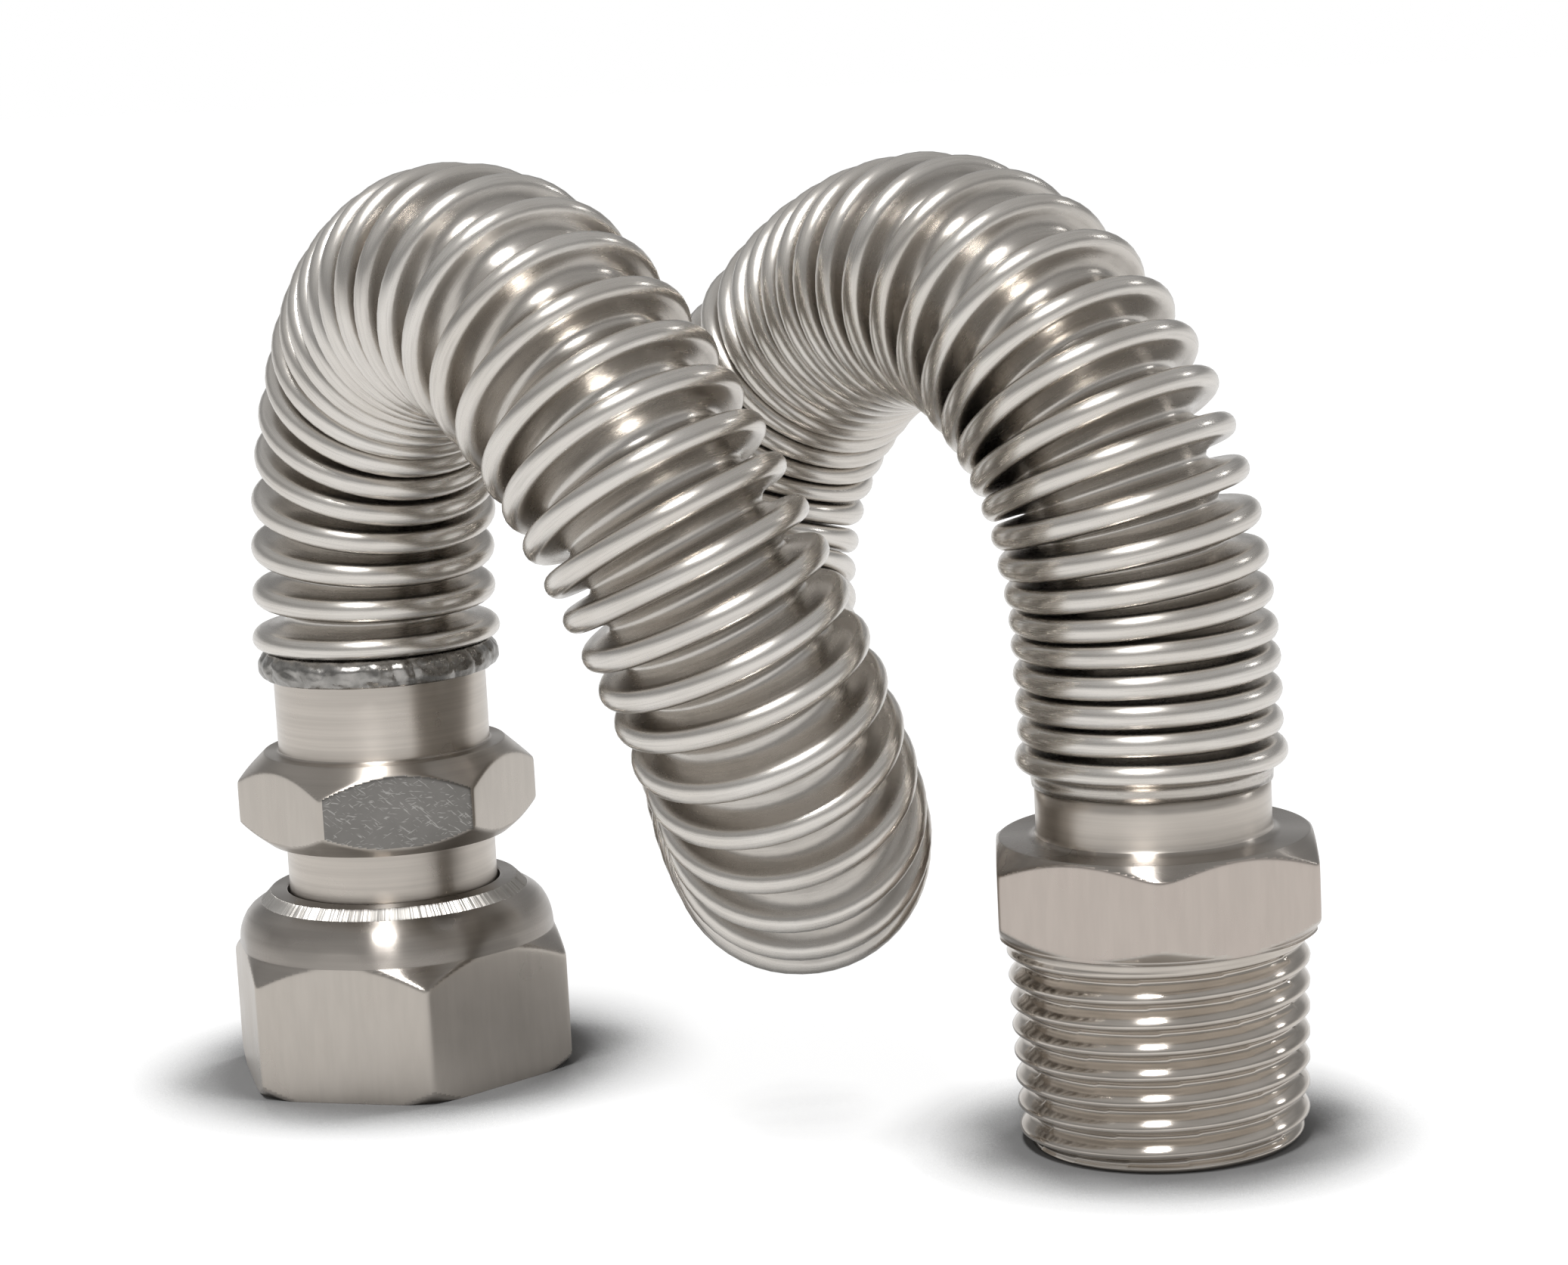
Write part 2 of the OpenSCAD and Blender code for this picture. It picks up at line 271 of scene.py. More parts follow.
def bumps(nodes, links, layers):
    """Bump from (height source, strength, distance in metres) layers, one on another."""
    normal = None
    for source, strength, distance in layers:
        node = nodes.new("ShaderNodeBump")
        node.inputs["Strength"].default_value = strength
        node.inputs["Distance"].default_value = distance
        links.new(source, node.inputs["Height"])
        if normal is not None:
            links.new(normal, node.inputs["Normal"])
        normal = node.outputs["Normal"]
    return normal


def tinted(nodes, links, colour, tint):
    """One colour multiplied by another."""
    mix = nodes.new("ShaderNodeMix")
    mix.data_type = "RGBA"
    mix.blend_type = "MULTIPLY"
    mix.inputs["Factor"].default_value = 1.0
    links.new(colour, mix.inputs["A"])
    links.new(tint, mix.inputs["B"])
    return mix.outputs["Result"]


def brush(nodes, links, main, spread, across):
    """Stretch the highlights, up and down where across is 0.25 and round the piece where it is 0."""
    main.inputs["Anisotropic"].default_value = spread
    main.inputs["Anisotropic Rotation"].default_value = across
    tangent = nodes.new("ShaderNodeTangent")
    tangent.direction_type = "UV_MAP"
    links.new(tangent.outputs[0], main.inputs["Tangent"])


def steel(name, light, dark, rough, line_stretch, line_scale, line_depth, spread=0.6, across=0.25,
          lines_on="Object", line_height=0.00004, fade=0.9):
    """Stainless steel with cloudy colour and fine lines left by turning or drawing.

    spread and across say how far and which way the lines stretch a highlight, lines_on which
    coordinates they follow, and fade how light their darker side is."""
    material, nodes, links, main = shader(name)
    coordinates = nodes.new("ShaderNodeTexCoord")
    place = coordinates.outputs["Object"]
    clouds = noise(nodes, links, place, 170.0, detail=3.0)
    lines = noise(nodes, links, coordinates.outputs[lines_on], line_scale, line_stretch, detail=2.0)
    colour = ramp(nodes, links, clouds, [(0.3, dark), (0.7, light)])
    tint = ramp(nodes, links, lines, [(0.35, (fade, fade, fade)), (0.65, (1, 1, 1))])
    links.new(tinted(nodes, links, colour, tint), main.inputs["Base Color"])
    links.new(between(nodes, links, clouds, rough * 0.8, rough * 1.3), main.inputs["Roughness"])
    main.inputs["Metallic"].default_value = 1.0
    if spread:
        brush(nodes, links, main, spread, across)
    links.new(bumps(nodes, links, [(lines, line_depth, line_height)]), main.inputs["Normal"])
    return material


# How bright the noise is on a scratch, and over what width of it a scratch fades out
SCRATCH_LEVEL, SCRATCH_EDGE = 0.71, 0.05
# Leans of the scratches in their face, in radians, and how fine they are
SCRATCHES = ((0.12, 8600.0), (-0.45, 7600.0), (0.75, 8000.0))
SCRATCH_STRENGTH = 0.28


def maths(nodes, links, operation, first, second=None, value=None):
    """A Math node on one or two sources, or on a source and a number."""
    node = nodes.new("ShaderNodeMath")
    node.operation = operation
    links.new(first, node.inputs[0])
    if second is not None:
        links.new(second, node.inputs[1])
    elif value is not None:
        node.inputs[1].default_value = value
    return node.outputs[0]


def scratch_lines(nodes, links, place, lean, scale, seed):
    """Thin short lines, 1 on a line and 0 off it, that lean in the stem's front flat."""
    mapping = nodes.new("ShaderNodeMapping")
    mapping.vector_type = "TEXTURE"
    mapping.inputs["Location"].default_value = (0.11 * seed, 0.07 * seed, 0.05 * seed)
    mapping.inputs["Rotation"].default_value = (0, lean, math.radians(STEM_CORNER + 60))
    mapping.inputs["Scale"].default_value = (7, 1, 1)
    links.new(place, mapping.inputs["Vector"])
    texture = nodes.new("ShaderNodeTexNoise")
    texture.inputs["Scale"].default_value = scale
    texture.inputs["Detail"].default_value = 1.0
    links.new(mapping.outputs["Vector"], texture.inputs["Vector"])
    line = nodes.new("ShaderNodeMapRange")
    line.inputs["From Min"].default_value = SCRATCH_LEVEL - SCRATCH_EDGE
    line.inputs["From Max"].default_value = SCRATCH_LEVEL
    links.new(texture.outputs["Fac"], line.inputs["Value"])
    return line.outputs["Result"]


def scratched_shaded_steel():
    """A face darkened by painted shade, with many short bright scratches lying every way."""
    material, nodes, links, main = shader("scratched_shaded_steel")
    place = nodes.new("ShaderNodeTexCoord").outputs["Object"]
    clouds = noise(nodes, links, place, 300.0, detail=3.0)
    total = None
    for seed, (lean, scale) in enumerate(SCRATCHES, 1):
        line = scratch_lines(nodes, links, place, lean, scale, seed)
        total = line if total is None else maths(nodes, links, "MAXIMUM", total, line)
    # Painted shade: this dark base colour stands in for the shade on the stem's front flat; the bright
    # scratches over it are real.
    darker_tone = ramp(nodes, links, clouds, [(0.3, (0.19, 0.182, 0.17)), (0.7, (0.24, 0.23, 0.217))])
    mix = nodes.new("ShaderNodeMix")
    mix.data_type = "RGBA"
    links.new(maths(nodes, links, "MULTIPLY", total, value=SCRATCH_STRENGTH), mix.inputs["Factor"])
    links.new(darker_tone, mix.inputs["A"])
    mix.inputs["B"].default_value = (0.80, 0.78, 0.75, 1)
    links.new(mix.outputs["Result"], main.inputs["Base Color"])
    main.inputs["Metallic"].default_value = 1.0
    main.inputs["Roughness"].default_value = 0.34
    links.new(bumps(nodes, links, [(clouds, 0.08, 0.0001)]), main.inputs["Normal"])
    return material


def hose_steel():
    """Bright drawn tube: streaks run round each convolution, and shade is painted on its flanks and in its
    valleys, which are darker.
    """
    material, nodes, links, main = shader("hose_steel")
    place = nodes.new("ShaderNodeTexCoord")
    clouds = noise(nodes, links, place.outputs["Object"], 110.0, detail=3.0)
    streaks = noise(nodes, links, place.outputs["UV"], 1.0, (11, 6, 1), detail=4.0, rough=0.65)
    fine = noise(nodes, links, place.outputs["Object"], 4200.0, detail=2.0)
    clean = ramp(nodes, links, clouds, [(0.28, (0.66, 0.62, 0.57)), (0.72, (0.745, 0.715, 0.675))])
    height = nodes.new("ShaderNodeAttribute")
    height.attribute_name = "height"
    # Painted shade: darker on the flanks and in the valleys, by the height of each point.
    painted_valley_shade = ramp(nodes, links, height.outputs["Fac"],
                  [(0.0, (0.88, 0.88, 0.88)), (0.3, (0.76, 0.75, 0.74)), (0.62, (0.71, 0.70, 0.69)),
                   (0.9, (1, 1, 1))])
    darker_tone = ramp(nodes, links, streaks, [(0.36, (0.88, 0.88, 0.88)), (0.52, (1, 1, 1))])
    colour = tinted(nodes, links, tinted(nodes, links, clean, painted_valley_shade), darker_tone)
    links.new(colour, main.inputs["Base Color"])
    links.new(between(nodes, links, streaks, 0.31, 0.23), main.inputs["Roughness"])
    main.inputs["Metallic"].default_value = 1.0
    brush(nodes, links, main, 0.5, 0.25)
    links.new(bumps(nodes, links, [(streaks, 0.08, 0.00006), (fine, 0.06, 0.00001)]),
              main.inputs["Normal"])
    return material


def weld_steel():
    """Rough weld metal: lumpy, darker, with bright facets."""
    material, nodes, links, main = shader("weld_steel")
    place = nodes.new("ShaderNodeTexCoord").outputs["Object"]
    lumps = noise(nodes, links, place, 750.0, detail=2.0)
    grit = noise(nodes, links, place, 2600.0, detail=2.0)
    links.new(ramp(nodes, links, lumps, [(0.34, (0.23, 0.22, 0.205)), (0.52, (0.31, 0.30, 0.285)),
                                         (0.70, (0.40, 0.385, 0.365))]), main.inputs["Base Color"])
    links.new(between(nodes, links, grit, 0.2, 0.36), main.inputs["Roughness"])
    main.inputs["Metallic"].default_value = 1.0
    links.new(bumps(nodes, links, [(lumps, 0.6, 0.0002), (grit, 0.3, 0.00005)]), main.inputs["Normal"])
    return material


def washer_rubber():
    """Matt black rubber."""
    material, nodes, links, main = shader("washer_rubber")
    place = nodes.new("ShaderNodeTexCoord").outputs["Object"]
    grain = noise(nodes, links, place, 3000.0)
    links.new(ramp(nodes, links, grain, [(0.3, (0.015, 0.015, 0.015)), (0.7, (0.035, 0.035, 0.035))]),
              main.inputs["Base Color"])
    main.inputs["Roughness"].default_value = 0.65
    links.new(bumps(nodes, links, [(grain, 0.2, 0.00003)]), main.inputs["Normal"])
    return material


# The hose: its route, its convolutions and its mesh

# Points that draw the axis as one smooth curve, from the union to the nipple
ROUTE = [
    (0, 0, UNION_Z), (0, 0, UNION_Z + 7), (1.5, -1, UNION_Z + 15.5), (6, -4, UNION_Z + 24),
    (13, -9.5, UNION_Z + 29), (22, -15, UNION_Z + 29), (30, -18.5, UNION_Z + 24),
    (36.5, -20.5, UNION_Z + 16), (40.5, -19, UNION_Z + 6.5),
    (42.5, -15.5, TURN_HEIGHT + 9), (41, -9, TURN_HEIGHT + 1), (36, -1.5, TURN_HEIGHT - 0.5),
    (30, 6, TURN_HEIGHT + 1.5), (24.5, 13, TURN_HEIGHT + 9),
    (22, 17, NIPPLE_Z + 12.5), (24.5, 18.5, NIPPLE_Z + 22.5), (31.5, 16.5, NIPPLE_Z + 30),
    (40, 10.5, NIPPLE_Z + 34),
    (FOOT_GAP - 14.5, 4.5, NIPPLE_Z + 34.5), (FOOT_GAP - 6.5, 0.5, NIPPLE_Z + 30),
    (FOOT_GAP - 1.5, -1, NIPPLE_Z + 22), (FOOT_GAP, 0, NIPPLE_Z + 12), (FOOT_GAP, 0, NIPPLE_Z)
]
# The pitch of the convolutions, as (distance along the hose, pitch there)
SPACING = [
    (0, 3.35), (16, 3.35), (22, 3), (27, 2.3), (35, 2.2), (40, 3), (46, 3.55), (56, 3.5), (60, 2.9),
    (75, 2.9), (80, 3.2), (90, 3.2), (96, 2.7), (128, 2.8), (136, 3.15), (150, 3.1), (155, 2.5),
    (165, 2.5), (170, 3.35), (183, 3.3), (188, 2.6), (200, 2.5), (204, 2.1), (220, 2.05)
]
# Radii over the crests, over the first and the last crest, and over the valleys
CREST_R = 9.25
END_CREST_R = 9.45
VALLEY_R = 6.45
# Thickness of the sheet
SHEET = 0.3
# Width of the solid's flat crests, which sets where the first and the last crest stand
CREST_W = 1.0
# The plain cuffs at the union and at the nipple: their radii, their lengths, and the length over which
# each widens to the crest beside it
CUFF_R = 8.1
NIPPLE_CUFF_R = 8.42
UNION_CUFF = 1.2
NIPPLE_CUFF = 1.05
CUFF_STEP = 0.3
# The side of the hose from which angles round it are counted, a way that the axis never points
ACROSS = np.array((0.5, 0.85, 0.0))
# Points round the hose, and steps of the axis between two points of its route
HOSE_SIDES = 52
CURVE_STEPS = 24
# How far one convolution leans and stands lower than another, in millimetres, as usual spreads
CREST_LEAN, CREST_DROP = 0.09, 0.05
# Half the width of a crest where the hose is straight, and the most that it takes of half a pitch
CREST_HALF, CREST_SHARE = 0.88, 0.92
# A valley is shallower where it is drawn wider than this pitch, measured at this radius
CLOSE_PITCH, PITCH_R, PITCH_BLEND, VALLEY_RISE = 3.0, 7.5, 0.4, 0.42
# How far the sheet's inside stays below a crest's top and below a valley
UNDER_CREST, UNDER_VALLEY = 0.9, 0.05
# The narrowest and the widest that a bend may make a pitch, as shares of the straight one
NARROWEST, WIDEST = 0.15, 2.2


class Hose:
    """The hose's axis as tables of place, heading and bend by distance along it."""

    def __init__(self):
        points = np.array(ROUTE, float)
        held = np.vstack([2 * points[0] - points[1], points, 2 * points[-1] - points[-2]])
        places, headings = [], []
        for i in range(len(points) - 1):
            for k in range(CURVE_STEPS + (i == len(points) - 2)):
                t = k / CURVE_STEPS
                four = held[i:i + 4]
                places.append(np.array(((1 - t) ** 3, 3 * t ** 3 - 6 * t * t + 4,
                                        3 * t * t + 3 * t + 1 - 3 * t ** 3, t ** 3)) @ four / 6)
                headings.append(np.array((-(1 - t) ** 2, 3 * t * t - 4 * t,
                                          1 + 2 * t - 3 * t * t, t * t)) @ four / 2)
        self.places = np.array(places)
        self.headings = np.array(headings)
        self.headings /= np.linalg.norm(self.headings, axis=1, keepdims=True)
        steps = np.linalg.norm(np.diff(self.places, axis=0), axis=1)
        self.reach = np.concatenate([[0], np.cumsum(steps)])
        self.length = self.reach[-1]
        self.bends = np.gradient(self.headings, self.reach, axis=0)

    def look_up(self, table, s):
        """What a table holds at distances along the hose."""
        return np.stack([np.interp(s, self.reach, table[:, axis]) for axis in range(3)], axis=-1)

    def outward(self, s, angle):
        """Direction away from the axis, at a distance along it and an angle round it."""
        ahead = self.look_up(self.headings, s)
        ahead /= np.linalg.norm(ahead, axis=-1, keepdims=True)
        side = ACROSS - np.sum(ACROSS * ahead, axis=-1, keepdims=True) * ahead
        side /= np.linalg.norm(side, axis=-1, keepdims=True)
        up = np.cross(ahead, side)
        return np.cos(angle)[..., None] * side + np.sin(angle)[..., None] * up

    def openness(self, s, angle, radius):
        """How far the hose is drawn apart there: above 1 outside a bend and below 1 inside it."""
        bend = self.look_up(self.bends, s)
        return np.clip(1 - radius * np.sum(bend * self.outward(s, angle), axis=-1), NARROWEST, WIDEST)


def crest_places(hose):
    """Distances of the crests along the hose, spaced as SPACING says and fitted to its two ends."""
    first = UNION_CUFF + CUFF_STEP + CREST_W / 2
    last = hose.length - NIPPLE_CUFF - CUFF_STEP - CREST_W / 2
    at, pitch = zip(*SPACING)
    stepped = [first]
    while stepped[-1] + np.interp(stepped[-1], at, pitch) < last:
        stepped.append(stepped[-1] + float(np.interp(stepped[-1], at, pitch)))
    stepped = np.array(stepped)
    return first + (stepped - first) * (last - first) / (stepped[-1] - first)


# One side of a convolution, from its crest outwards: how high the crest's round is and the angles
# of its points, then points down the flank as (share of the way to the middle of the valley, share of
# the height left)
CREST_ROUND = 0.82
CREST_ANGLES = (20.0, 40.0, 60.0, 78.0)
FLANK = ((0.05, 0.78), (0.15, 0.52), (0.32, 0.26), (0.58, 0.08))
# The sheet's inside, as (share of the crest's half width, depth below its top, or None for the valley)
INSIDE = ((0.55, 0.95), (0.75, None))


def make_hose(material):
    """The hose, as rows of points round its axis: along its outside, then back along its inside."""
    hose = Hose()
    crests = crest_places(hose)
    count = len(crests)
    random = np.random.default_rng(7)
    angle = np.arange(HOSE_SIDES) / HOSE_SIDES * 2 * math.pi
    valleys = np.concatenate([[UNION_CUFF], (crests[1:] + crests[:-1]) / 2, [hose.length - NIPPLE_CUFF]])
    lean = random.normal(0, CREST_LEAN, (count, 1))
    lean = lean * np.cos(angle - random.uniform(0, ANY_ANGLE, (count, 1)))
    lean[[0, -1]] = 0
    middle = crests[:, None] + lean
    top = np.repeat(CREST_R - np.abs(random.normal(0, CREST_DROP, (count, 1))), HOSE_SIDES, axis=1)
    top[[0, -1]] = END_CREST_R
    open_crest = hose.openness(middle, np.broadcast_to(angle, middle.shape), CREST_R)

    def valley_radius(s, half_pitch, at_angle, at_end):
        pitch = 2 * half_pitch * hose.openness(s, at_angle, PITCH_R)
        drawn = smooth_max(pitch - CLOSE_PITCH, 0.0, PITCH_BLEND)
        return np.where(at_end > 0, at_end, VALLEY_R + VALLEY_RISE * drawn)

    def half_rows(direction):
        """Rows from the crest to just short of the valley, for every convolution at once."""
        edge = valleys[1:] if direction > 0 else valleys[:-1]
        half_pitch = np.abs(edge[:, None] - middle)
        half = np.minimum(CREST_HALF / open_crest, CREST_SHARE * half_pitch)
        at_end = np.zeros((count, 1))
        at_end[-1 if direction > 0 else 0] = NIPPLE_CUFF_R if direction > 0 else CUFF_R
        outer, inner = [], []
        floor = valley_radius(middle + direction * half, half_pitch, angle[None, :], at_end)
        for a in CREST_ANGLES:
            s = middle + direction * half * math.sin(math.radians(a))
            outer.append((s, top - CREST_ROUND * (1 - math.cos(math.radians(a)))))
        shoulder = outer[-1][1]
        start = half * math.sin(math.radians(CREST_ANGLES[-1]))
        for share, left in FLANK:
            s = middle + direction * (start + (half_pitch - start) * share)
            outer.append((s, floor + (shoulder - floor) * left))
        for share, depth in INSIDE:
            s = middle + direction * half * share
            inner.append((s, floor - UNDER_VALLEY if depth is None else top - depth))
        return outer, inner

    left_outer, left_inner = half_rows(-1)
    right_outer, right_inner = half_rows(1)
    gaps = np.diff(crests)[:, None] / 2
    between_s = np.repeat(valleys[1:-1, None], HOSE_SIDES, axis=1)
    between_r = valley_radius(between_s, gaps, angle[None, :], np.zeros((count - 1, 1)))

    ends = [(0.0, CUFF_R), (0.7, CUFF_R)]
    far_ends = [(hose.length - 0.6, NIPPLE_CUFF_R - 0.02), (hose.length, NIPPLE_CUFF_R - 0.05)]
    full = np.ones(HOSE_SIDES)
    outside = [(s * full, r * full) for s, r in ends]
    for i in range(count):
        outside += [(s[i], r[i]) for s, r in reversed(left_outer)]
        outside.append((middle[i], top[i]))
        outside += [(s[i], r[i]) for s, r in right_outer]
        if i < count - 1:
            outside.append((between_s[i], between_r[i]))
    outside += [(s * full, r * full) for s, r in far_ends]
    inside_r = VALLEY_R - SHEET
    inside = [(s * full, inside_r * full) for s in (hose.length, hose.length - NIPPLE_CUFF)]
    for i in reversed(range(count)):
        inside += [(s[i], np.minimum(r[i], top[i] - UNDER_CREST)) for s, r in reversed(right_inner)]
        inside.append((middle[i], top[i] - SHEET))
        inside += [(s[i], np.minimum(r[i], top[i] - UNDER_CREST)) for s, r in left_inner]
        if i > 0:
            inside.append((between_s[i - 1], between_r[i - 1] - SHEET))
    inside += [(s * full, inside_r * full) for s in (UNION_CUFF, 0.0)]
    s = np.array([row[0] for row in outside + inside])
    r = np.array([row[1] for row in outside + inside])
    s = np.clip(s, 0, hose.length)
    turn = np.broadcast_to(angle, s.shape)
    points = hose.look_up(hose.places, s) + r[..., None] * hose.outward(s, turn)
    # The hose material paints shade on the flanks and valleys by this height.
    height = np.clip((r - VALLEY_R) / (CREST_R - VALLEY_R), 0, 1)
    piece = grid_object("hose", points, material, along_v=s.mean(axis=1), height=height)
    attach(piece, HOSE_BODY)
    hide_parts("corrugated_hose")


# The fittings

# Widths of the hexagons across their flats, and the direction of one corner of each in degrees
NUT_FLATS, NUT_CORNER = 24.0, -48.4
STEM_FLATS, STEM_CORNER = 20.0, -22.7
NIPPLE_FLATS, NIPPLE_CORNER = 22.0, -65.9
PITCH_MM = 1.814


def past_corners(flats):
    """A radius just past a hexagon's corners."""
    return flats / 2 / math.cos(math.radians(30)) + 1


def make_nut(material, flat, peened):
    """The swivel nut: hexagon, rounded shoulder, pressed-in lip and a thread inside."""
    corner_r = past_corners(NUT_FLATS)
    thread_r, root_r, ledge, lip_r, recess_r, lip_z = 9.3, 10.35, 8.0, 8.2, 10.0, 12.9
    bevel_out, bevel_low, bevel_in, bevel_high, margin = 10.25, 13.6, 9.5, 14.38, 0.3
    corners = [
        (9.9, 0.0, 0.1), (12.9, 0.0, 0.2), (corner_r, 1.9, 0.1), (corner_r, 7.75, 0.1),
        (12.2, 10.35, 0.15), (12.1, 11.4, 3.5), (11.45, 12.9, 2.4),
        (bevel_out, bevel_low, 0.05), (bevel_in, bevel_high, 0.1), (lip_r, 14.45, 0.12),
        (lip_r, lip_z, 0.05), (recess_r, lip_z, 0.05), (recess_r, ledge, 0.05),
        (thread_r, ledge, 0.05), (thread_r, 0.6, 0.0)]

    def shape(radius, height, angle):
        cut = ridge((height / PITCH_MM) - angle / (2 * math.pi))
        inside = (np.abs(radius - thread_r) < margin) & (height < ledge - margin) & (height > margin)
        radius = np.where(inside, root_r - (root_r - thread_r) * cut, radius)
        return smooth_min(radius, hexagon_radius(angle, NUT_FLATS, NUT_CORNER), 0.14)

    def on_bevel(radius, height, angle):
        across = (radius > bevel_in - 0.1) & (radius < bevel_out + 0.05)
        return across & (height > bevel_low - 0.05) & (height < bevel_high - 0.01)

    finishes = ((flat, on_flats(NUT_FLATS, NUT_CORNER, 0.05, 10.3)), (peened, on_bevel))
    piece = turned("nut", corners, 0.25, 450, material, shape, finishes=finishes, plain_r=9.2)
    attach(piece, NUT_BODY)
    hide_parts("swivel_nut")


def make_stem(material, flat, scratched_shaded, neck):
    """The union's stem: tail with the ring's groove, hexagon and neck."""
    corner_r = past_corners(STEM_FLATS)
    tail_r, foot, hex_low, hex_high, neck_r = 8.0, 10.0, 18.3, 25.2, 8.1
    wire_z, groove_r, groove = 12.0, 7.35, 0.85
    corners = [
        (BORE_R, foot, 0.1), (tail_r, foot, 0.2), (tail_r, wire_z - groove, 0.0),
        (groove_r, wire_z - 0.4, 0.3), (groove_r, wire_z + 0.4, 0.3), (tail_r, wire_z + groove, 0.0),
        (tail_r, hex_low, 0.1), (9.3, hex_low, 0.1), (corner_r, hex_low + 2.55, 0.1),
        (corner_r, hex_high - 3.1, 0.1), (9.25, hex_high, 0.15), (neck_r, hex_high, 0.2),
        (neck_r, UNION_Z, 0.0), (BORE_R, UNION_Z, 0.0)]

    def shape(radius, height, angle):
        return smooth_min(radius, hexagon_radius(angle, STEM_FLATS, STEM_CORNER), 0.12)

    all_flats = on_flats(STEM_FLATS, STEM_CORNER, hex_low, hex_high)

    # The front flat gets the material with painted shade and real scratches.
    def shaded_front_flat(radius, height, angle):
        away = np.mod(np.degrees(angle) - (STEM_CORNER - 30) + 180, 360) - 180
        return all_flats(radius, height, angle) & (np.abs(away) < 29.5)

    def on_necks(radius, height, angle):
        outside = (radius < neck_r + 0.02) & (radius > tail_r - 0.1)
        return outside & ((height > hex_high) | (height < hex_low))

    finishes = ((flat, all_flats), (scratched_shaded, shaded_front_flat), (neck, on_necks))
    piece = turned("stem", corners, 0.2, 450, material, shape, finishes=finishes, plain_r=8.5)
    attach(piece, HOSE_BODY)
    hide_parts("union_stem")


def make_nipple(material, flat, thread, neck):
    """The male nipple: taper thread with a true helix, hexagon and neck."""
    corner_r = past_corners(NIPPLE_FLATS)
    end_r, taper, depth, thread_len, hex_high, neck_r = 10.15, 1 / 32, 0.95, 15.0, 21.8, 8.2
    # A crest of the thread passes through this height on the side that faces this way
    crest_z, crest_azimuth = 14.39, math.radians(-21)
    low_bevel_z = thread_len + 2.5
    corners = [
        (BORE_R, 0.0, 0.15), (9.3, 0.0, 0.25), (end_r + 0.9, 1.9, 0.0),
        (end_r + 0.9, thread_len, 0.0), (10.85, thread_len, 0.15), (corner_r, low_bevel_z, 0.1),
        (corner_r, hex_high - 2.2, 0.1), (10.8, hex_high, 0.15), (neck_r, hex_high, 0.6),
        (neck_r, NIPPLE_Z, 0.0), (BORE_R, NIPPLE_Z, 0.0)]

    def corner(angle):
        """Rounding of the hexagon's corners: they are crisp, but for one, which is worn round."""
        away = np.mod(angle - math.radians(NIPPLE_CORNER) + math.pi, 2 * math.pi) - math.pi
        return CORNER_ROUNDING + 1.15 * np.where(np.abs(away) < math.pi / 3, np.cos(1.5 * away) ** 2, 0.0)

    def shape(radius, height, angle):
        phase = (height - crest_z) / PITCH_MM - (angle - crest_azimuth) / (2 * math.pi)
        crest = end_r + taper * height
        runout = np.clip((thread_len - 0.35 - height) / 0.7, 0, 1)
        threaded = crest - 0.12 * (1 - runout) - depth * (1 - ridge(phase)) * runout
        band = (height < thread_len - 0.01) & (radius > 8)
        radius = np.where(band, smooth_min(radius, threaded, 0.1), radius)
        hexagon = hexagon_radius(angle, NIPPLE_FLATS, NIPPLE_CORNER, corner(angle))
        return smooth_min(radius, hexagon, 0.12)

    def on_thread(radius, height, angle):
        return (height < thread_len - 0.1) & (radius > 8)

    def on_neck(radius, height, angle):
        return (height > hex_high + 0.15) & (radius > 8)

    def under_hexagon(radius, height, angle):
        return (height > thread_len - 0.1) & (height < low_bevel_z) & (radius > 10.7)

    all_flats = on_flats(NIPPLE_FLATS, NIPPLE_CORNER, thread_len, hex_high, corner)
    finishes = ((neck, under_hexagon), (flat, all_flats), (thread, on_thread), (neck, on_neck))
    piece = turned("nipple", corners, 0.18, 420, material, shape, centre_x=FOOT_GAP, finishes=finishes,
                   plain_r=8.8)
    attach(piece, HOSE_BODY)
    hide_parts("male_nipple")


def lumps(angle, seed, amount):
    """A wavy line round the axis, the same each time for a seed."""
    random = np.random.default_rng(seed)
    wave = 0.0 * angle
    for turns in range(2, 30):
        strength = random.normal(0, 1) / (1 + 0.08 * turns)
        wave = wave + strength * np.cos(turns * angle + random.uniform(0, ANY_ANGLE))
    return wave / np.abs(wave).max() * amount


def make_weld_bead(material):
    """The rough bead round the hose's end, lumpy and uneven."""
    low, high, inner, outer = UNION_Z - 1, UNION_Z + 1.1, 8.1, 9.28
    ripples, ripple_depth, sunk = 11, 0.22, 0.08
    corners = [(inner, low, 0.0), (outer - 0.4, low, 0.3), (outer, low + 0.6, 0.6),
               (outer, high - 0.7, 0.6), (outer - 0.6, high, 0.3), (inner, high, 0.0)]

    def shape(radius, height, angle):
        share = np.clip((radius - inner) / (outer - inner), 0, 1)
        beads = np.abs(np.sin(ripples * angle + lumps(angle, 12, 1.4) + 0.5 * (height - low)))
        rough = lumps(angle, 3, 0.1)
        rough = rough + lumps(angle + 0.25 * height, 5, 0.07) + lumps(angle - 0.3 * height, 8, 0.06)
        return radius + share * (ripple_depth * (beads - 1) + rough - sunk)

    piece = turned("weld_bead", corners, 0.12, 400, material, shape)
    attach(piece, HOSE_BODY)
    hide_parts("union_weld_bead")


def make_seam(material):
    """The dressed seam round the hose's other end."""
    low, high = NIPPLE_Z, NIPPLE_Z + 1
    corners = [(8.1, low, 0.0), (8.22, low, 0.0), (8.34, low + 0.35, 0.3), (8.4, high - 0.3, 0.15),
               (8.38, high, 0.0), (8.1, high - 0.02, 0.0)]

    def shape(radius, height, angle):
        return radius + (radius > 8.15) * lumps(angle, 9, 0.02)

    piece = turned("weld_seam", corners, 0.1, 240, material, shape, centre_x=FOOT_GAP)
    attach(piece, HOSE_BODY)
    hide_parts("nipple_weld_seam")


def dress_hidden_nodes(wire, rubber):
    """The ring and the washer stay as the CAD has them and get their own materials."""
    for node, material in (("retaining_ring", wire), ("sealing_washer", rubber)):
        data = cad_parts[node].data
        data.materials.clear()
        data.materials.append(material)


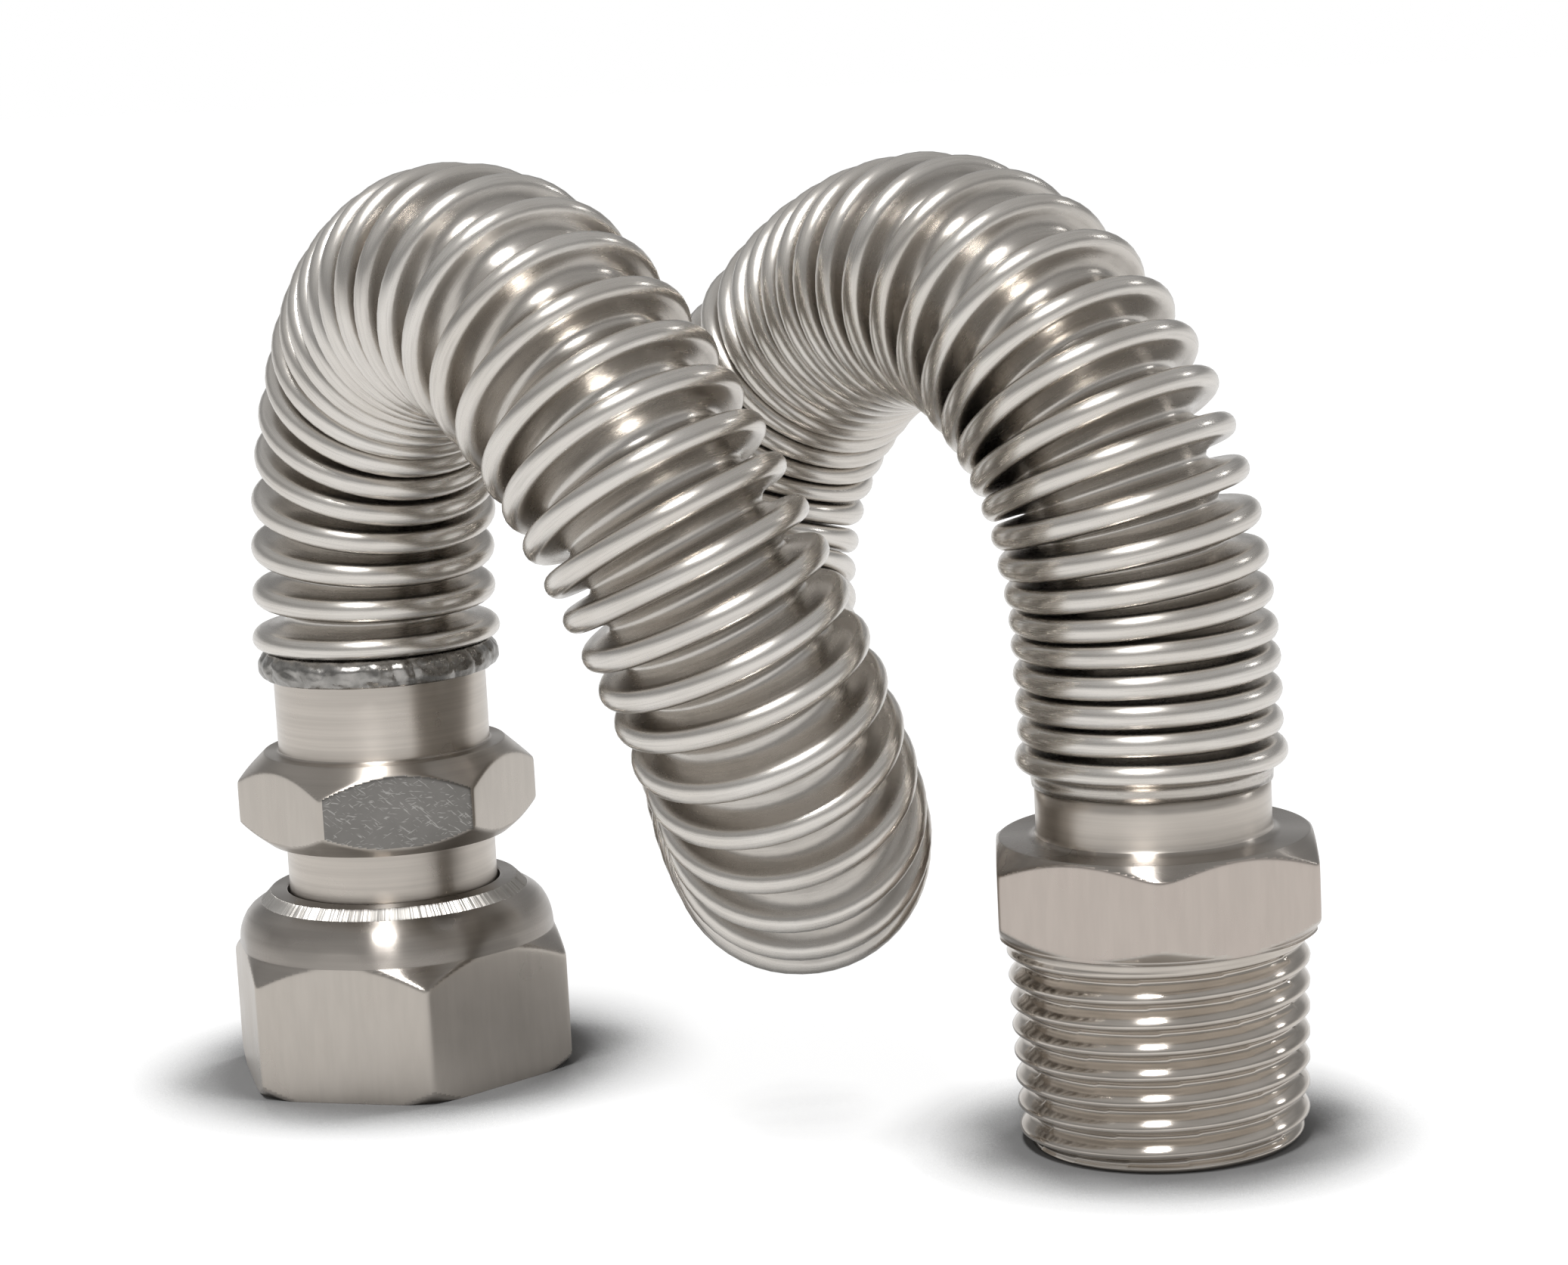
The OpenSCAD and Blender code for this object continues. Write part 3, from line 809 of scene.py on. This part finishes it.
# Floor, world and lamps

FLOOR_SIZE = 6.0
# How bright the floor is, as it is seen and as the steel reflects it
SEEN_LIFT, REFLECTED_LIFT = 0.93, 0.76
# How far from the object the painted shadow on the floor reaches, in metres, as it is seen and as the steel
# reflects it
SEEN_REACH, REFLECTED_REACH = 0.0118, 0.035
# The share of open sky over the floor at which the painted shadow is darkest, and how steeply it darkens
SEEN_LOW, REFLECTED_LOW = 0.54, 0.1
SEEN_POWER, REFLECTED_POWER = 2.0, 2.4
# How many ways are tried from a point of the floor to see how open the sky is over it
OPEN_SKY_RAYS = 8


def make_floor():
    """A white floor, with a soft shadow painted on it where the object stands close to it."""
    material, nodes, links, main = shader("floor")
    main.inputs["Base Color"].default_value = (0.2, 0.2, 0.2, 1)
    main.inputs["Roughness"].default_value = 0.9
    main.inputs["Specular IOR Level"].default_value = 0.0
    path = nodes.new("ShaderNodeLightPath")
    total = None
    seen = maths(nodes, links, "ADD", path.outputs["Is Camera Ray"], path.outputs["Is Transmission Ray"])
    reflected = path.outputs["Is Glossy Ray"]
    for rays, lift, reach, low, power in (
            (seen, SEEN_LIFT, SEEN_REACH, SEEN_LOW, SEEN_POWER),
            (reflected, REFLECTED_LIFT, REFLECTED_REACH, REFLECTED_LOW, REFLECTED_POWER)):
        open_sky = nodes.new("ShaderNodeAmbientOcclusion")
        open_sky.samples = OPEN_SKY_RAYS
        open_sky.inputs["Distance"].default_value = reach
        soft = nodes.new("ShaderNodeMapRange")
        soft.interpolation_type = "SMOOTHSTEP"
        soft.inputs["From Min"].default_value = low
        links.new(open_sky.outputs["AO"], soft.inputs["Value"])
        shade = maths(nodes, links, "POWER", soft.outputs["Result"], value=power)
        lit = maths(nodes, links, "MULTIPLY", shade, rays)
        lit = maths(nodes, links, "MULTIPLY", lit, value=lift)
        total = lit if total is None else maths(nodes, links, "ADD", total, lit)
    main.inputs["Emission Color"].default_value = (1, 1, 1, 1)
    links.new(total, main.inputs["Emission Strength"])
    mesh = bpy.data.meshes.new("floor")
    half = FLOOR_SIZE / 2
    corners = [(-half, -half, 0), (half, -half, 0), (half, half, 0), (-half, half, 0)]
    mesh.from_pydata(corners, [], [(0, 1, 2, 3)])
    mesh.materials.append(material)
    floor = bpy.data.objects.new("floor", mesh)
    bpy.context.scene.collection.objects.link(floor)


# The middle of the object, which the lamps face
MIDDLE = Vector((FOOT_GAP / 2 * MM, 0, 0.03))
# Brightness by height, from straight down at 0 through the horizon at 0.5 to straight up at 1
SKY = [(0.0, 0.8), (0.5, 0.8), (0.55, 0.72), (0.61, 0.34), (0.68, 0.3), (0.80, 0.5), (1.0, 0.48)]


def make_world():
    """Bright at the horizon and dimmer overhead, the same all the way round, and white to the camera."""
    world = bpy.data.worlds.new("world")
    bpy.context.scene.world = world
    world.use_nodes = True
    nodes, links = world.node_tree.nodes, world.node_tree.links
    direction = nodes.new("ShaderNodeTexCoord").outputs["Generated"]
    split = nodes.new("ShaderNodeSeparateXYZ")
    links.new(direction, split.inputs[0])
    height = nodes.new("ShaderNodeMapRange")
    height.inputs["From Min"].default_value = -1
    height.inputs["From Max"].default_value = 1
    links.new(split.outputs["Z"], height.inputs["Value"])
    sky = ramp(nodes, links, height.outputs["Result"], [(p, (v, v, v)) for p, v in SKY])
    path = nodes.new("ShaderNodeLightPath")
    mix = nodes.new("ShaderNodeMix")
    mix.data_type = "RGBA"
    links.new(path.outputs["Is Camera Ray"], mix.inputs["Factor"])
    links.new(sky, mix.inputs["A"])
    mix.inputs["B"].default_value = (1, 1, 1, 1)
    links.new(mix.outputs["Result"], nodes["Background"].inputs["Color"])


def aim(azimuth, elevation):
    """Unit vector towards a direction, in degrees."""
    a, e = math.radians(azimuth), math.radians(elevation)
    return Vector((math.cos(a) * math.cos(e), math.sin(a) * math.cos(e), math.sin(e)))


def lamp(name, azimuth, elevation, distance, size, radiance):
    """A round lamp that faces the object. radiance is how bright its face is to look at."""
    data = bpy.data.lights.new(name, "AREA")
    data.shape, data.size = "DISK", size
    data.energy = radiance * math.pi * math.pi * (size / 2) ** 2
    piece = bpy.data.objects.new(name, data)
    direction = aim(azimuth, elevation)
    piece.location = MIDDLE + direction * distance
    piece.rotation_mode = "QUATERNION"
    piece.rotation_quaternion = direction.to_track_quat("Z", "Y")
    bpy.context.scene.collection.objects.link(piece)


def make_lights():
    """A small bright lamp high in front, and a weaker one low at the side and behind."""
    lamp("key", -78, 64, 0.8, 0.17, 68.0)
    lamp("side", 44, 28, 0.8, 0.09, 9.0)


make_camera()
fitting = steel("fitting_steel", (0.485, 0.445, 0.402), (0.425, 0.386, 0.345), 0.34, (1, 1, 60), 55.0, 0.10,
                spread=0.9)
neck_steel = steel("neck_steel", (0.65, 0.60, 0.545), (0.57, 0.523, 0.473), 0.3, (1, 1, 60), 55.0, 0.12,
                   spread=0.8)
nut_steel = steel("nut_steel", (0.45, 0.416, 0.38), (0.385, 0.352, 0.32), 0.28, (1, 1, 40), 60.0, 0.10,
                  spread=1.0)
flat_steel = steel("flat_steel", (0.555, 0.512, 0.465), (0.505, 0.463, 0.416), 0.3, (6, 6, 1), 220.0, 0.04,
                   spread=0, fade=0.95)
nipple_flat = steel("nipple_flat_steel", (0.565, 0.503, 0.455), (0.515, 0.455, 0.41), 0.3, (6, 6, 1), 220.0,
                    0.04, spread=0, fade=0.95)
thread_steel = steel("thread_steel", (0.635, 0.585, 0.53), (0.545, 0.498, 0.445), 0.14, (1, 1, 12), 300.0,
                     0.08, spread=0.8)
peened_steel = steel("peened_steel", (0.66, 0.64, 0.61), (0.5, 0.475, 0.445), 0.4, (130, 3, 1), 1.0, 0.8,
                     spread=0.9, across=0.0, lines_on="UV", line_height=0.0006)
wire_steel = steel("ring_steel", (0.50, 0.48, 0.45), (0.42, 0.40, 0.37), 0.3, (1, 1, 1), 900.0, 0.1)
seam_steel = steel("seam_steel", (0.58, 0.55, 0.51), (0.48, 0.45, 0.41), 0.26, (1, 1, 8), 300.0, 0.25)
make_hose(hose_steel())
make_nut(nut_steel, flat_steel, peened_steel)
make_stem(fitting, flat_steel, scratched_shaded_steel(), neck_steel)
make_nipple(nut_steel, nipple_flat, thread_steel, neck_steel)
make_weld_bead(weld_steel())
make_seam(seam_steel)
dress_hidden_nodes(wire_steel, washer_rubber())
make_floor()
make_world()
make_lights()
bpy.context.scene.view_settings.view_transform = "Standard"
